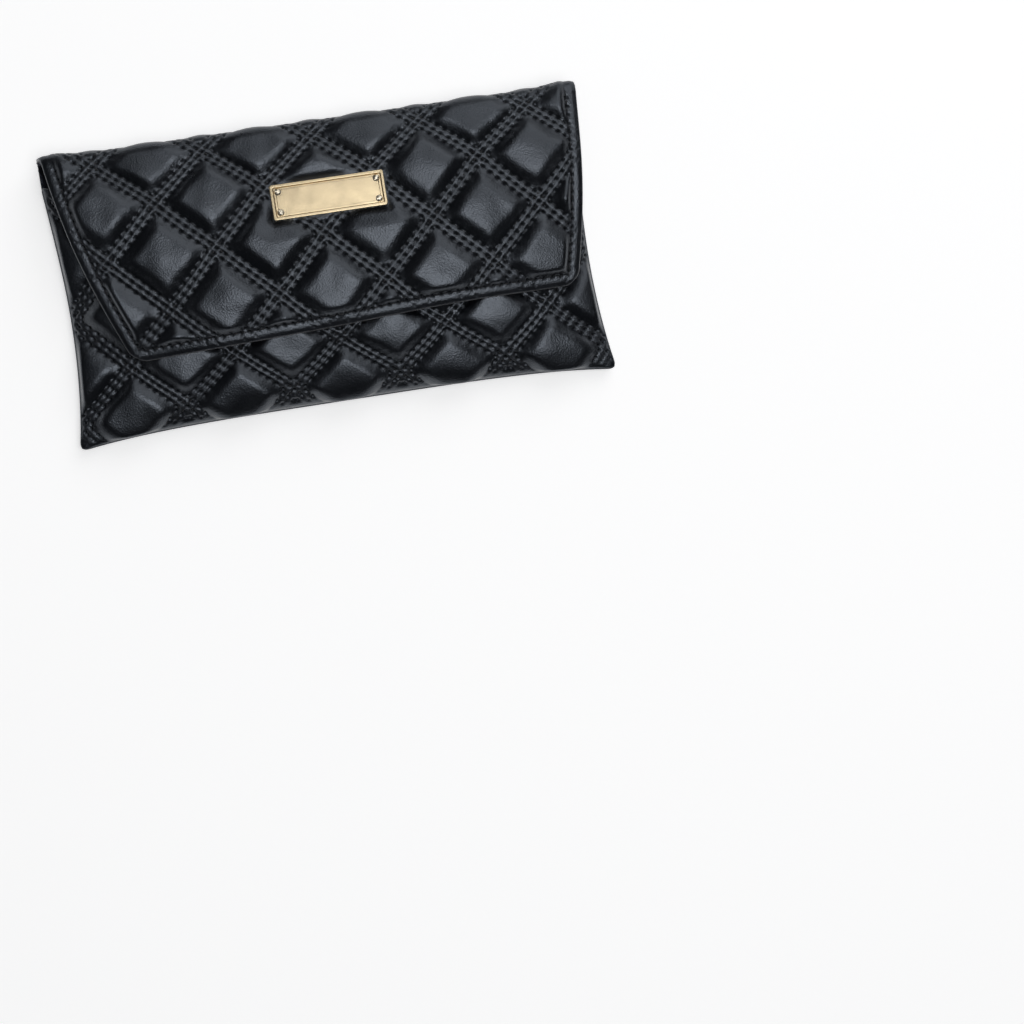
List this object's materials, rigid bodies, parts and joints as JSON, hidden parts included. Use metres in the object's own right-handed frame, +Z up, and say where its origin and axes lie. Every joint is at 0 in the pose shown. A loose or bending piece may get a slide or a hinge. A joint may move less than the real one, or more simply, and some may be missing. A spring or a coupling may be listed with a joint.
{
  "type": "jewellery case",
  "caption": "Flat quilted leather jewellery pouch with a velvet-lined fold-over flap, a magnetic snap and a blank metal nameplate.",
  "frame": {"origin": "middle of the closed case's footprint, on the table it lies on", "axes": "+X across the case, +Y from the bottom seam toward the fold, +Z up out of the flap"},
  "size_m": [0.214, 0.1164, 0.0277],
  "materials": {
    "leather": "semi-gloss, pebble grained",
    "wadding": "soft, unwoven",
    "lining": "velvet",
    "board": "grey fibre board",
    "gold": "polished pale gold",
    "satin_gold": "satin pale gold",
    "steel": "plain",
    "magnet": "sintered, plain"
  },
  "bodies": {
    "pouch": {"back_leather": "leather", "back_wadding": "wadding", "back_lining": "lining", "front_leather": "leather", "front_wadding": "wadding", "front_lining": "lining", "snap_cap": "gold", "snap_magnet": "magnet", "snap_core": "gold", "snap_base": "steel", "snap_patch": "board", "snap_washer": "steel"},
    "fold": {"fold_leather": "leather", "fold_wadding": "wadding", "fold_lining": "lining"},
    "flap": {"flap_leather": "leather", "flap_wadding": "wadding", "flap_board": "board", "flap_lining": "lining", "stud_plate": "satin_gold", "stud_patch": "board", "stud_washer": "steel", "nameplate_frame": "satin_gold", "nameplate_insert": "satin_gold", "nameplate_screws": "gold", "nameplate_backing": "steel"}
  },
  "joints": [
    {"name": "fold_turn", "type": "hinge", "parent": "pouch", "child": "fold", "pos_m": [0, 0.053, 0.005], "axis": [-1, 0, 0], "range_deg": [0, 86], "deforming": ["fold_leather", "fold_lining"]},
    {"name": "flap_turn", "type": "hinge", "parent": "fold", "child": "flap", "pos_m": [0, 0.053, 0.017], "axis": [-1, 0, 0], "range_deg": [0, 86]}
  ],
  "couplings": [
    {"joint": "flap_turn", "follows": "fold_turn", "ratio": 1}
  ]
}
